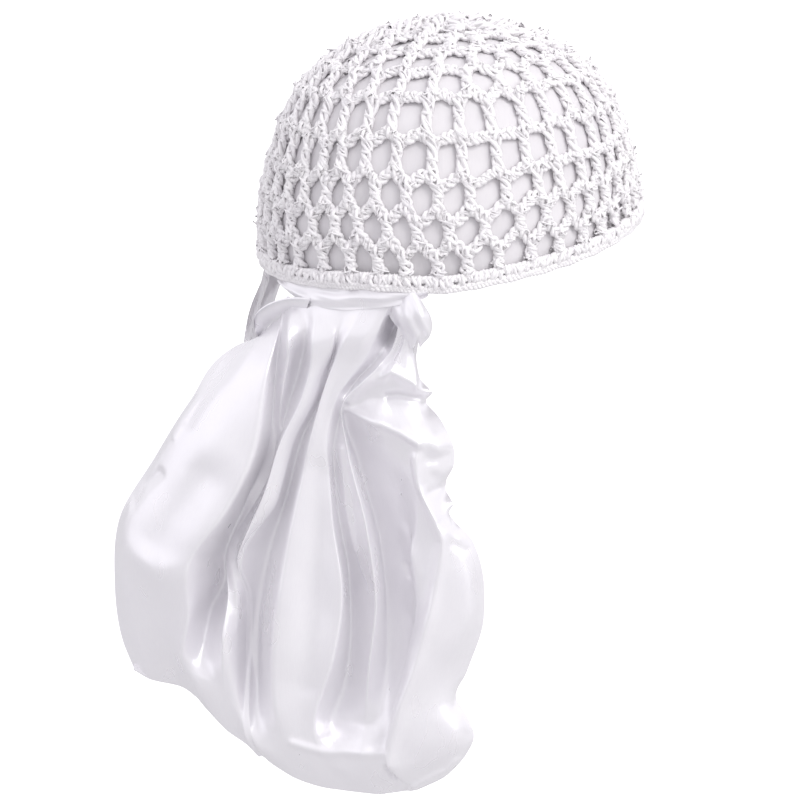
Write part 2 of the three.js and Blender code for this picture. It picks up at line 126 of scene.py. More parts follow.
# A row for each fold line, from the left edge to the right edge as seen from behind: its name, where
# on the rim it is gathered, or None where it hangs free of the band, how crisp it is, from 0 for a
# round crest or hollow to 1 for a sharp one, and its points. Each point is a drop below the nape's rim
# edge, a place across to the right of the nape and a place out from it.
FOLDS = [
    ("left_edge", None, 0, [
        (23, -31, -25), (28, -43, -26), (53, -63, -25), (80, -80, -25), (107, -96, -25), (135, -99, -25),
        (164, -96, -25), (179, -90, -24)]),
    ("left_rim", None, 0.3, [
        (19, -27, -19), (50, -55, -7), (76, -70, -4), (111, -88, -5), (138, -89, -8), (161, -85, -12),
        (182, -81, -20)]),
    ("left_panel", None, 0, [
        (15, -23, -16), (27, -31, -5), (49, -42, 3), (75, -53, 7), (118, -72, 6), (146, -73, -2),
        (163, -70, -8), (184, -69, -20)]),
    ("left_border", None, 0.2, [
        (11, -18, -12), (36, -22, 6), (71, -28, 11), (96, -40, 12), (119, -56, 10), (145, -58, 4),
        (164, -62, -1), (187, -60, -15)]),
    ("valley_1", -15, 0, [
        (39, -19, -3), (70, -23, -6), (95, -34, -10), (120, -45, -15), (133, -46, -18), (146, -52, -17),
        (160, -54, -10), (175, -55, -2), (193, -53, -12)]),
    ("ridge_1", -11, 0.6, [
        (23, -11, 4), (39, -14, 3), (65, -19, -6), (84, -24, -9), (120, -43, -10), (137, -41, -3),
        (155, -42, 4), (201, -44, -10)]),
    ("valley_2", -6, 0, [
        (12, -4, -2), (31, -8, -6), (52, -14, -4.5), (83, -22, -3.5), (119, -38, -4), (138, -37, -3),
        (188, -37, -1), (208, -35, -12)]),
    ("ridge_2", 1, 0.3, [
        (27, 0, 8), (45, -5, 8), (63, -14, 8), (90, -23, 7), (107, -31, 5), (119, -35.5, 1),
        (138, -34, -9), (162, -35, -12), (199, -33, 0), (213, -30, -12)]),
    ("shoulder_2", 6, 0.2, [
        (20, 9, 5.5), (35, 3, 5), (45, 0, 5), (63, -9, 4.5), (84, -15, 4), (93, -18, 3.5), (107, -28, 2.5),
        (119, -34, 0), (138, -32, -11), (162, -33, -13.5), (199, -31, 0), (213, -28, -12)]),
    ("valley_3", 12, 0, [
        (27, 8, 2), (45, 2.5, 1), (63, -6.5, -2), (92, -15, -6), (118, -24, -11), (144, -29, -14),
        (174, -30, -13), (203, -27, 0), (217, -22, -11)]),
    ("ridge_3", 19, 0, [
        (22, 13, 8), (38, 6, 9), (80, -4, 11), (135, -14, 12), (182, -17, 8), (201, -14, 3),
        (222, -11, -9)]),
    ("panel", 23, 0, [
        (22, 20, 8), (38, 10, 8), (71, 2, 10), (125, 1, 11), (153, -3, 11), (201, -5, 3),
        (225, 0, -9)]),
    ("panel_right", 26, 0, [
        (22, 25, 8), (47, 9, 8), (94, 8, 10), (130, 13, 11), (158, 9, 11), (194, -1, 5),
        (226, 10, -9)]),
    ("valley_4", 28.5, 0, [
        (13, 34, -5), (26, 28, 4), (37, 18, 4), (64, 9, 3), (91, 10, 2), (124, 14, -4),
        (157, 14, -6), (180, 10, -9), (193, 6, -7), (203, 9, 1), (212, 13, 0), (227, 19, -10)]),
    ("ridge_4", 30, 1, [
        (21, 35, 7), (28, 30, 9), (45, 14, 8), (63, 15, 9), (99, 24, 11), (136, 28, 9), (159, 25, 6),
        (182, 22, 0), (192, 21, -2), (203, 21, 3), (227, 26, -9)]),
    ("valley_5", 31.5, 0, [
        (21, 37.5, 6), (30, 32, 7), (47, 15, 2), (74, 19, -4), (111, 28, -7), (157, 31, -7), (208, 28, 2),
        (226, 32, -9)]),
    ("facet", 33, 0, [
        (20, 40, 8), (30, 35.5, 9.5), (43, 29, 5), (53, 30, 11), (64, 32, 6), (86, 36, 0), (109, 42, -1),
        (146, 42, -2), (206, 33, 3), (225, 38, -10)]),
    ("shelf", 33.5, 0.2, [
        (20, 41.5, 7.5), (31, 38.5, 9), (45, 34, 5), (57, 39, 11.5), (68, 42, 9), (80, 44.5, 9), (90, 47, 9),
        (100, 46.5, 8), (110, 44, 6), (135, 46, 5), (158, 42, 7), (208, 34, 5), (224, 42, -9)]),
    ("ridge_5", 34, 0.3, [
        (20, 42.5, 7), (32, 41, 9), (45, 38, 5), (60, 48, 13), (69, 46.5, 11), (80, 48, 11), (103, 58, 12),
        (158, 47, 11), (208, 35, 6), (223, 45, -8)]),
    ("right_lobe", 35, 0, [
        (21, 44, 4), (36, 46, 8), (45, 45, 3), (62, 55, 9), (84, 54, 3), (108, 65, 7), (135, 68, 8),
        (179, 56, 2), (194, 61, 3), (218, 55, -9)]),
    ("right_edge", 36, 0, [
        (22, 44.5, -4), (27, 44, -4), (36, 47, -3), (40, 52, 1), (46, 48, -6), (52, 54, -3), (62, 60.5, 1),
        (72, 61.5, 1), (85, 56.5, -7), (90, 61, 0), (96, 58, -6), (101, 65, 0), (107, 69.5, -2),
        (142, 74, -6), (168, 66, -9), (181, 61, -11), (186, 65, -8), (197, 69.5, -8), (206, 66, -10),
        (213, 61, -12)]),
]
# A row for each small crest or crease on the tail: its name, points (across, drop), half width and
# how far it stands out, which is below zero for a crease or hollow
CREASES = [
    ("left_strip", [(-43, 27), (-54, 45), (-66, 65)], 2, 1.8),
    ("left_hollow", [(-38, 24.5), (-48, 40), (-59, 57.5)], 3.5, -2.2),
    ("left_tuck", [(-72, 82), (-80, 89), (-86, 97)], 2.4, -3.5),
    ("left_fold", [(-84, 118), (-70, 124), (-57, 124)], 7, 1.5),
    ("left_facet", [(-50, 82), (-62, 98), (-72, 112)], 9, -1.6),
    ("panel_hollow", [(3, 78), (2, 110), (0, 140), (-4, 172)], 8, -3.4),
    ("panel_seam", [(12, 66), (14, 92), (17, 112)], 1.8, 1.4),
    ("first_ray", [(15, 44), (22, 37), (29, 28)], 2, 2.4),
    ("first_hollow", [(14, 42), (20, 34), (28, 26)], 2, -1.8),
    ("second_ray", [(16, 45), (26, 35), (35, 30), (43, 34), (51, 39)], 2.2, 2.6),
    ("second_hollow", [(33, 42), (38, 41.5), (46, 43)], 1.7, -2.4),
    ("third_ray", [(14, 48.5), (22, 51), (31, 53), (39, 56), (48, 61)], 2, 2.4),
    ("pouch_top", [(54, 61), (56, 63)], 3.2, 1.4),
    ("pouch_hollow", [(52, 69), (58, 68)], 2.6, -1.5),
    ("pouch_low", [(55, 74), (57, 76)], 2.6, 1.2),
    ("pouch_line", [(53, 83.5), (57, 82.5)], 1.6, -3),
    ("lobe_line", [(58, 96), (61, 97)], 1.4, -2),
    ("lobe_crest", [(61, 100), (65, 104)], 1.8, 1),
    ("lobe_hollow", [(62, 106), (67, 110)], 1.5, -1.2),
    ("shelf_crest", [(40, 104), (46, 120), (44, 138)], 3.5, 1.2),
    ("shelf_dimple", [(40, 119), (42, 124)], 1.6, -0.9),
    ("right_crest", [
        (46.5, 68), (48, 80), (54, 94), (58.5, 104), (56, 118), (53, 136), (47, 160), (40.5, 178), (35, 199),
        (33, 208)], 2.6, 1.8),
    ("hem_roll", [(41, 223.5), (47, 218.5), (53, 215), (58, 212.5), (62, 208)], 1.6, 1.8),
    ("hem_crest", [(-11, 201), (3, 205), (30, 204)], 2.2, 1.8),
    ("hem_crease", [(32, 211), (34, 217)], 1.4, -2.4),
]
# The tail's top left corner, which turns out and back. A row for each place from the band to the
# corner: the hem's across, drop and out, and those of the hollow behind it
CURL = [
    (-2, 1, 1, -5, 7, -3), (-10, 1.5, -3, -10, 9, -8), (-17, 3, -5, -16, 11, -13),
    (-25, 7, -10, -23, 15, -17), (-30, 12, -14, -27, 19, -20), (-31, 18, -18, -31, 23, -25),
]
# Corner flap and side tie
# A row for each level of the flap: drop, the across of its left and right sides, and its bulge
CORNER = [(-5, 33, 45, 2), (1, 32, 50, 7), (7, 34, 52.5, 9), (13, 38, 52, 7), (19, 42, 47, 2)]
CORNER_OUT = 6  # how far the flap's near side stands out from the nape
CORNER_TURN = 1.25  # how far round it curls, where 1 is a quarter turn
TIE_FROM = -80  # the angles round the rim between which the tie is sewn on
TIE_TO = -50
TIE_ROOT_DOWN = 2.0  # how far below the rim's edge it starts
TIE_ROOT_INSET = 2.2
TIE_RISE = 0.6 * RIM_DROP_TILT  # how much higher the rim is there than at the nape
TIE_CRUMPLE = 1.6  # how deep its lengthwise folds are
# A row for each section of the tie: drop below the rim, x, y, width and the turn of its face
TIE_SECTIONS = [(12, 62, 54, 20, 78), (28, 62, 63, 20, 78), (46, 60, 70, 19, 76), (66, 56, 73, 18, 74)]

# Camera: the photograph's direction and the scale at which it shows the crown
CAMERA_AZIMUTH = 220
CAMERA_ELEVATION = 10.5
CAMERA_DISTANCE = 1.5  # metres
PHOTO_SIZE = 800
PHOTO_PIXELS_PER_MM = 2.196
CROWN_PIXEL = (452, 205)  # where the middle of the crown's widest level is in the photograph
SENSOR_WIDTH = 36
UV_SHIFT = 7.3  # how far the texture is shifted from one strand to the next
FLOOR_Z = -500
FLOOR_HALF = 40  # metres from the middle of the floor to its sides
FLOOR_GLOW = 0.8  # what the camera sees the floor give off, so that it is plain white
WORLD_COLOUR = (0.975, 0.96, 1.0)
WORLD_STRENGTH = 0.97
# A row for each light: its direction, turned from the camera's, its distance and size in metres, its
# power in watts and its colour
LIGHTS = [
    dict(name="key", turn=56, elevation=30, distance=1.9, size=1.1, power=10, colour=(1, 0.99, 0.98)),
    dict(name="spot", turn=38, elevation=50, distance=1.9, size=0.45, power=7,
         colour=(1, 0.995, 0.99)),
    dict(name="fill", turn=-80, elevation=14, distance=2.0, size=2.2, power=4.5,
         colour=(0.95, 0.93, 1)),
]


# Numbers and curves

def unit(v):
    return v / np.maximum(np.linalg.norm(v, axis=-1, keepdims=True), 1e-9)


def ease(x, low=0.0, high=1.0):
    """0 below low, 1 above high and smooth between them."""
    t = np.clip((np.asarray(x, float) - low) / (high - low), 0, 1)
    return t * t * (3 - 2 * t)


def hermite(w, a, b, leaving, arriving):
    """From a to b as w goes from 0 to 1, with the slopes there."""
    return ((2 * w**3 - 3 * w**2 + 1) * a + (w**3 - 2 * w**2 + w) * leaving
            + (3 * w**2 - 2 * w**3) * b + (w**3 - w**2) * arriving)


def curve(xs, ys, x, limited=False, crisp=None):
    """A smooth curve at x through the rows of ys at xs. A limited curve doesn't overshoot its points,
    and crisp, from 0 to 1 for each point, lets the curve bend there."""
    xs = np.asarray(xs, float)
    ys = np.asarray(ys, float)
    tail = (1,) * (ys.ndim - 1)
    steps = np.diff(ys, axis=0) / np.diff(xs).reshape(-1, *tail)
    before, after = steps[:-1], steps[1:]
    if limited:
        same = before * after > 0
        middle = np.where(same, 2 * before * after / np.where(same, before + after, 1), 0)
    else:
        middle = (before + after) / 2
    slopes = np.concatenate([steps[:1], middle, steps[-1:]])
    share = np.zeros(len(xs)) if crisp is None else np.asarray(crisp, float)
    share = share.reshape(-1, *tail)
    leaving = slopes[:-1] + share[:-1] * (steps - slopes[:-1])
    arriving = slopes[1:] + share[1:] * (steps - slopes[1:])
    i = np.clip(np.searchsorted(xs, x, side="right") - 1, 0, len(xs) - 2)
    h = (xs[i + 1] - xs[i]).reshape(-1, *tail)
    w = (np.asarray(x, float) - xs[i]).reshape(-1, *tail) / h
    return hermite(w, ys[i], ys[i + 1], h * leaving[i], h * arriving[i])


def ripple(x, y, seed, scale_x, scale_y, waves=9):
    """A smooth irregular height from about -1 to 1, the same for the same seed."""
    source = np.random.default_rng(seed)
    total = np.zeros(np.broadcast(x, y).shape)
    for _ in range(waves):
        fx, fy = source.normal(size=2)
        total += np.sin(2 * np.pi * (fx * x / scale_x + fy * y / scale_y + source.random()))
    return total / math.sqrt(waves)


# The crown's surface

def crown_profile(per_span=60):
    """Reach and height along the crown's outline, evenly run as one spline through its points."""
    points = np.array([(reach * MEAN_HALF, height) for height, reach in CROWN_PROFILE])
    padded = np.vstack([points[:1], points, points[-1:]])
    t = np.linspace(0, 1, per_span, endpoint=False)[:, None]
    spans = [hermite(t, b, c, (c - a) / 2, (d - b) / 2)
             for a, b, c, d in zip(padded, padded[1:], padded[2:], padded[3:])]
    return np.vstack([*spans, points[-1:]])


OUTLINE = crown_profile()
OUTLINE_ARC = np.concatenate([[0], np.cumsum(np.linalg.norm(np.diff(OUTLINE, axis=0), axis=1))])
OUTLINE_SLOPE = unit(np.gradient(OUTLINE, axis=0))


def rim_lift(angle):
    """How far the rim's edge is pulled up at an angle."""
    turned = (np.asarray(angle, float) + 180) % 360 - 180
    return RIM_LIFT * (1 - ease(turned, 15, 50)) * ease(turned, -110, -60)


def rim_arc(angle):
    """The length down the crown's outline to the rim's edge."""
    drop = RIM_DROP_MEAN + RIM_DROP_TILT * np.cos(np.radians(angle)) - rim_lift(angle)
    return np.interp(drop, -OUTLINE[:, 1], OUTLINE_ARC)


def around(angle, forward, up):
    """Directions from their part away from the middle and their part up, at angles round the crown."""
    a = np.radians(angle)
    return np.stack([-np.sin(a) * forward, np.cos(a) * forward, up + 0 * a], axis=-1)


def crown_normal(angle, arc):
    slope = [np.interp(arc, OUTLINE_ARC, OUTLINE_SLOPE[:, k]) for k in (0, 1)]
    return unit(around(angle, -slope[1], slope[0]))


def crown_point(angle, arc, inset):
    """The point at an angle and a length down the outline, inset from the net's outer face."""
    angle, arc = np.broadcast_arrays(np.asarray(angle, float), np.asarray(arc, float))
    a = np.radians(angle)
    reach = np.interp(arc, OUTLINE_ARC, OUTLINE[:, 0]) / MEAN_HALF
    height = np.interp(arc, OUTLINE_ARC, OUTLINE[:, 1])
    surface = np.stack([-HALF_WIDTH * reach * np.sin(a), HALF_LENGTH * reach * np.cos(a),
                        WIDEST_Z + height], axis=-1)
    return surface - crown_normal(angle, arc) * np.asarray(inset, float)[..., None]


def rim_point(angle, down, inset):
    """The point below or above the rim's edge. Below it the wall runs straight down."""
    down = np.asarray(down, float)
    point = crown_point(angle, rim_arc(angle) + np.minimum(down, 0), inset)
    point[..., 2] -= np.maximum(down, 0)
    return point


# Meshes

LOW, HIGH = slice(None, -1), slice(1, None)
CORNERS = [(..., LOW, LOW), (..., HIGH, LOW), (..., HIGH, HIGH), (..., LOW, HIGH)]


def mesh_piece(name, parts, material):
    """One smooth mesh from parts, each of points in millimetres, quads, and a uv for each corner."""
    starts = np.cumsum([0] + [len(points) for points, _, _ in parts])
    points = np.concatenate([p for p, _, _ in parts]) * MM
    quads = np.concatenate([q + s for (_, q, _), s in zip(parts, starts)])
    uvs = np.concatenate([u for _, _, u in parts])
    mesh = bpy.data.meshes.new(name)
    mesh.vertices.add(len(points))
    mesh.vertices.foreach_set("co", points.astype(np.float32).ravel())
    mesh.loops.add(quads.size)
    mesh.loops.foreach_set("vertex_index", quads.astype(np.int32).ravel())
    mesh.polygons.add(len(quads))
    mesh.polygons.foreach_set("loop_start", np.arange(0, quads.size, 4, dtype=np.int32))
    mesh.polygons.foreach_set("use_smooth", np.ones(len(quads), bool))
    mesh.update(calc_edges=True)
    layer = mesh.uv_layers.new(name="cloth")
    layer.uv.foreach_set("vector", uvs.astype(np.float32).ravel())
    mesh.materials.append(material)
    piece = bpy.data.objects.new(name, mesh)
    bpy.context.scene.collection.objects.link(piece)
    return piece


def lattice(index, u, v, corners):
    """Quads between neighbours in rows of point numbers, and the u and v at each of their corners."""
    picked = [(index[c].ravel(), u[c].ravel(), v[c].ravel()) for c in corners]
    quads = np.stack([numbers for numbers, _, _ in picked], axis=1)
    uvs = np.stack([np.stack([us, vs], axis=1) for _, us, vs in picked], axis=1)
    return quads, uvs.reshape(-1, 2)


def grid_part(grid, closed=False):
    """A sheet through a grid of points (row, column). Its uvs are lengths of cloth in millimetres."""
    rows, columns = grid.shape[:2]
    index = np.arange(rows * columns).reshape(rows, columns)
    along = np.linalg.norm(np.diff(grid, axis=0), axis=2).mean(1)
    across = np.linalg.norm(np.diff(grid, axis=1), axis=2).mean(0)
    v = np.concatenate([[0], np.cumsum(along)])
    u = np.concatenate([[0], np.cumsum(across)])
    if closed:
        index = np.hstack([index, index[:, :1]])
        u = np.append(u, u[-1] + across.mean())
    return grid.reshape(-1, 3), *lattice(index, *np.meshgrid(u, v), CORNERS)


def tubes(paths, radius, sides, reference, closed=False):
    """Tubes round many paths at once. paths is (tube, point, 3), and reference is a direction across
    them. The uvs are length in millimetres and the share of a turn."""
    paths = np.asarray(paths, float)
    count, length = paths.shape[:2]
    if closed:
        along = np.roll(paths, -1, axis=1) - np.roll(paths, 1, axis=1)
        step = np.linalg.norm(np.roll(paths, -1, axis=1) - paths, axis=2)
    else:
        along = np.gradient(paths, axis=1)
        step = np.linalg.norm(np.diff(paths, axis=1), axis=2)
    along = unit(along)
    side = unit(np.cross(along, np.broadcast_to(reference, paths.shape)))
    up = np.cross(side, along)
    turn = 2 * np.pi * np.arange(sides) / sides
    r = np.broadcast_to(np.asarray(radius, float), (count, length))[..., None, None]
    ring = np.cos(turn)[:, None] * side[:, :, None] + np.sin(turn)[:, None] * up[:, :, None]
    points = (paths[:, :, None] + r * ring).reshape(-1, 3)
    index = np.arange(count * length * sides).reshape(count, length, sides)
    if closed:
        index = np.concatenate([index, index[:, :1]], axis=1)
    index = np.concatenate([index, index[:, :, :1]], axis=2)
    lengths = np.concatenate([np.zeros((count, 1)), np.cumsum(step, axis=1)], axis=1)
    lengths = lengths + UV_SHIFT * np.arange(count)[:, None]
    lengths = np.broadcast_to(lengths[:, :, None], index.shape)
    turns = np.broadcast_to(np.arange(sides + 1) / sides, index.shape)
    return points, *lattice(index, lengths, turns, (CORNERS[k] for k in (0, 3, 2, 1)))


# Materials

class Nodes:
    """Short ways to build a material's nodes."""

    def __init__(self, name):
        self.material = bpy.data.materials.new(name)
        self.material.use_nodes = True
        self.tree = self.material.node_tree
        self.shader = self.tree.nodes["Principled BSDF"]

    def link(self, source, target):
        self.tree.links.new(source, target)

    def add(self, kind, inputs=None, **settings):
        node = self.tree.nodes.new(kind)
        for key, value in settings.items():
            setattr(node, key, value)
        for key, value in (inputs or {}).items():
            if isinstance(value, bpy.types.NodeSocket):
                self.link(value, node.inputs[key])
            else:
                node.inputs[key].default_value = value
        return node

    def math(self, operation, a, b=0.0, c=0.0):
        return self.add("ShaderNodeMath", {0: a, 1: b, 2: c}, operation=operation).outputs[0]

    def noise(self, vector, scale, detail=3.0, roughness=0.55):
        values = {"Vector": vector, "Scale": scale, "Detail": detail, "Roughness": roughness}
        return self.add("ShaderNodeTexNoise", values).outputs["Fac"]

    def scaled(self, vector, scale):
        return self.add("ShaderNodeMapping", {"Vector": vector, "Scale": scale}).outputs["Vector"]

    def ramp(self, value, low, high, start=0.3, end=0.7):
        """A colour from low to high as value goes from start to end."""
        node = self.add("ShaderNodeValToRGB", {"Fac": value})
        node.color_ramp.elements[0].position = start
        node.color_ramp.elements[0].color = (*low, 1)
        node.color_ramp.elements[1].position = end
        node.color_ramp.elements[1].color = (*high, 1)
        return node.outputs["Color"]

    def range(self, value, low, high):
        inputs = {"Value": value, "To Min": low, "To Max": high}
        return self.add("ShaderNodeMapRange", inputs).outputs["Result"]

    def mix(self, factor, a, b):
        node = self.add("ShaderNodeMix", {0: factor}, data_type="RGBA", blend_type="MULTIPLY")
        for socket, value in ((node.inputs[6], a), (node.inputs[7], b)):
            self.link(value, socket)
        return node.outputs[2]

    def bump(self, height, distance, strength=1.0, below=None):
        inputs = {"Height": height, "Distance": distance, "Strength": strength}
        if below is not None:
            inputs["Normal"] = below
        return self.add("ShaderNodeBump", inputs).outputs["Normal"]

    def set(self, **values):
        """Constant values on the shader's own sockets, with _ for a space in their names."""
        for key, value in values.items():
            self.shader.inputs[key.replace("_", " ")].default_value = value


def yarn_material():
    """Glossy white crochet yarn: plied filaments along each strand, with painted shade that darkens the
    colour in the grooves between the fibres.
    """
    n = Nodes("crochet_yarn")
    uv = n.add("ShaderNodeUVMap", uv_map="cloth").outputs["UV"]
    parts = n.add("ShaderNodeSeparateXYZ", {"Vector": uv})
    along, turn = parts.outputs["X"], parts.outputs["Y"]
    place = n.add("ShaderNodeTexCoord").outputs["Object"]
    ply = n.math("MULTIPLY_ADD", along, 0.55, turn)
    plies = n.math("SINE", n.math("MULTIPLY", ply, 2 * math.pi * PLIES))
    fibre = n.math("MULTIPLY_ADD", along, 0.35, turn)
    across = n.add("ShaderNodeCombineXYZ", {"X": n.math("MULTIPLY", along, 0.5),
                                            "Y": n.math("MULTIPLY", fibre, 14.0)}).outputs["Vector"]
    fibres = n.noise(across, scale=1.0, detail=4.0, roughness=0.7)
    blotches = n.noise(place, scale=90.0)
    grain = n.noise(place, scale=1400.0, detail=2.0)
    base = n.ramp(blotches, low=(0.9, 0.88, 0.897), high=(0.94, 0.925, 0.93))
    # Painted shade: the colour is darker where the fibres' bump is low, in the grooves between them, and
    # white on the raised fibres.
    groove_shade = n.ramp(fibres, low=(0.93, 0.915, 0.93), high=(1, 1, 1), start=0.25, end=0.5)
    n.link(n.mix(0.8, base, groove_shade), n.shader.inputs["Base Color"])
    n.link(n.range(fibres, low=0.3, high=0.55), n.shader.inputs["Roughness"])
    height = n.math("MULTIPLY_ADD", plies, 0.35, n.math("MULTIPLY_ADD", fibres, 1.2, grain))
    n.link(n.bump(height, distance=0.0002, strength=0.4), n.shader.inputs["Normal"])
    n.set(Sheen_Weight=0.1, Sheen_Roughness=0.5, Specular_IOR_Level=0.5, Subsurface_Weight=0.15,
          Subsurface_Scale=0.001, Subsurface_Radius=(1, 1, 1))
    return n.material


def satin_material(name, light, shade, roughness, lustre, gloss):
    """White satin: fine floats along the cloth, a faint crinkle and uneven gloss."""
    n = Nodes(name)
    uv = n.add("ShaderNodeUVMap", uv_map="cloth").outputs["UV"]
    place = n.add("ShaderNodeTexCoord").outputs["Object"]
    floats = n.noise(n.scaled(uv, (2.4, 0.2, 1.0)), scale=1.0, detail=2.0, roughness=0.5)
    weft = n.add("ShaderNodeTexWave", {"Vector": uv, "Scale": 0.9, "Distortion": 0.6,
                                       "Detail": 1.0}, bands_direction="Y").outputs["Fac"]
    crinkle = n.noise(n.scaled(place, (1.0, 1.0, 0.45)), scale=75.0, detail=2.0, roughness=0.5)
    clouds = n.noise(place, scale=22.0, detail=3.0)
    base = n.ramp(clouds, low=shade, high=light)
    threads = n.ramp(floats, low=(0.985, 0.982, 0.988), high=(1, 1, 1), start=0.3, end=0.6)
    n.link(n.mix(1.0, base, threads), n.shader.inputs["Base Color"])
    uneven = n.range(crinkle, low=roughness - 0.05, high=roughness + 0.07)
    n.link(uneven, n.shader.inputs["Roughness"])
    fine = n.bump(n.math("MULTIPLY_ADD", weft, 0.35, floats), distance=0.00004, strength=0.5)
    n.link(n.bump(crinkle, distance=0.0009, strength=0.45, below=fine), n.shader.inputs["Normal"])
    n.set(Metallic=lustre, Sheen_Weight=0.15, Sheen_Roughness=0.35, Specular_IOR_Level=gloss)
    return n.material


yarn = yarn_material()
satin = satin_material("tail_satin", light=(0.905, 0.894, 0.916), shade=(0.87, 0.857, 0.885),
                       roughness=0.28, lustre=0.45, gloss=0.7)
# The lining is the same white satin as the tail. Its darker colour here is painted shade, for the lining
# lying in the shade behind the net.
lining_satin_shaded = satin_material("cap_satin_shaded", light=(0.76, 0.743, 0.757), shade=(0.7, 0.682, 0.7),
                              roughness=0.6, lustre=0.0, gloss=0.2)


# Crocheted net

ROUND_ENDS = CENTRE_RING + np.concatenate([[0], np.cumsum([height for height, _ in NET_ROUNDS])])
RING_SHARES = ROUND_ENDS / ROUND_ENDS[-1]
COUNTS = [count for _, count in NET_ROUNDS]
RINGS = len(NET_ROUNDS)


def handmade(angle, arc):
    """Small drifts of the net from even rounds, in degrees and in millimetres."""
    a = np.radians(angle)
    sideways = 1.1 * np.sin(3 * a + arc / 31) + 0.8 * np.sin(5 * a + 1 - arc / 23)
    down = 0.9 * np.sin(2 * a + arc / 27) + 0.7 * np.sin(7 * a + 2 + arc / 19)
    return sideways, down * ease(arc, 0, 40)


def post_angles(row):
    count = COUNTS[row]
    jitter = np.random.default_rng(100 + row).uniform(-POST_JITTER, POST_JITTER, count)
    return (np.arange(count) + 0.5 * (row % 2) + jitter) * 360 / count


def swing(row, angle):
    """1 where a row's posts are and -1 half way between them."""
    if not 0 <= row < RINGS:
        return 0 * angle
    return np.cos(np.radians(angle) * COUNTS[row] - math.pi * (row % 2))


def ring_place(ring, angle):
    """The angle and length down the crown of the chain round, which hangs in waves between posts."""
    end = rim_arc(angle) - RIM_BAND_HEIGHT
    gap = 2 * math.pi * ROUND_ENDS[min(ring, STEEP_ROUND)] / COUNTS[min(ring, RINGS - 1)]
    size = min(ZIGZAG, ZIGZAG_SHARE * gap) / 2
    arc = RING_SHARES[ring] * end + size * (swing(ring, angle) - swing(ring - 1, angle))
    sideways, down = handmade(angle, arc)
    return angle + sideways, arc + down * (ring < RINGS)


def across_path(path, out):
    """Directions along the surface and across a closed path."""
    along = unit(np.roll(path, -1, axis=0) - np.roll(path, 1, axis=0))
    return unit(np.cross(along, out))


def plait(centre, side, out, phase, wide, deep):
    """Three strands plaited along a closed line of centres."""
    paths = []
    for strand in range(3):
        turned = phase + 2 * math.pi * strand / 3
        paths.append(centre + side * (wide * np.sin(turned))[:, None]
                     + out * (deep * np.sin(2 * turned))[:, None])
    return paths


def chain_round(ring, fewest, per_stitch):
    """The middle of a round of chain: its number of stitches, angles, points, outward directions and
    directions across it."""
    stitches = COUNTS[min(ring, RINGS - 1)] + COUNTS[max(ring - 1, 0)]
    angle = np.linspace(0, 360, max(fewest, per_stitch * stitches), endpoint=False)
    centre = crown_point(*ring_place(ring, angle), NET_DEPTH)
    out = crown_normal(*ring_place(ring, angle))
    return stitches, angle, centre, out, across_path(centre, out)


def chain_strands(ring):
    """A core and three strands plaited over it along one round of chain stitches."""
    stitches, angle, centre, out, side = chain_round(ring, 60, 9)
    turn = np.radians(angle)
    plaits = max(6, round(0.95 * stitches))
    wide = CHAIN_WIDE + TOP_EXTRA * (1 - ease(ring, 1, 4))
    wide = wide + CHAIN_UNEVEN * ripple(angle, 0 * angle, seed=400 + ring, scale_x=14, scale_y=1)
    loose = 0.9 * np.sin(turn * 7 + ring) + 0.7 * np.sin(turn * 19 + 2 * ring)
    paths = plait(centre, side, out, turn * plaits + loose, wide, CHAIN_DEEP)
    core = tubes(centre[None, ::3] - CORE_SUNK * out[::3], CHAIN_CORE, 5, out[::3], closed=True)
    return [core, tubes(paths, YARN, 5, out, closed=True)]


def chain_plies(ring):
    """Two loose plies that wander round a round of chain stitches."""
    stitches, angle, centre, out, side = chain_round(ring, 50, 7)
    source = np.random.default_rng(500 + ring)
    paths = []
    for ply in range(2):
        turn = np.radians(angle) * round((1.3 + 0.45 * ply) * stitches) + 2.5 * ply
        reach = PLY_REACH + source.uniform(-0.5, 0.6, len(angle))
        paths.append(centre + side * (reach * np.sin(turn))[:, None]
                     + out * (0.9 + 0.6 * np.cos(turn))[:, None])
    return tubes(paths, FIBRE, 4, out, closed=True)


def post_ends(row):
    """Where a row's posts start and end: (top, bottom, outward direction)."""
    angle = post_angles(row)
    top = crown_point(*ring_place(row, angle), NET_DEPTH)
    bottom = crown_point(*ring_place(row + 1, angle), NET_DEPTH)
    out = crown_normal(*ring_place(row, angle)) + crown_normal(*ring_place(row + 1, angle))
    return top, bottom, unit(out)


def post_sides(row):
    """Directions down each of a row's posts, across it and out of it."""
    top, bottom, out = post_ends(row)
    axis = unit(bottom - top)
    side = unit(np.cross(axis, out))
    return axis, side, np.cross(side, axis)


def post_line(row, t):
    """Points at shares t down each of a row's posts."""
    top, bottom, _ = post_ends(row)
    return top[:, None] + (bottom - top)[:, None] * np.atleast_2d(t)[..., None]


def wound(centre, side, face, phase, wide, deep, off=0.0):
    """Paths that wind round lines of centres, wide across the surface, deep through it and off it."""
    return (centre + side[:, None] * (wide * np.cos(phase))[..., None]
            + face[:, None] * (off + deep * np.sin(phase))[..., None])


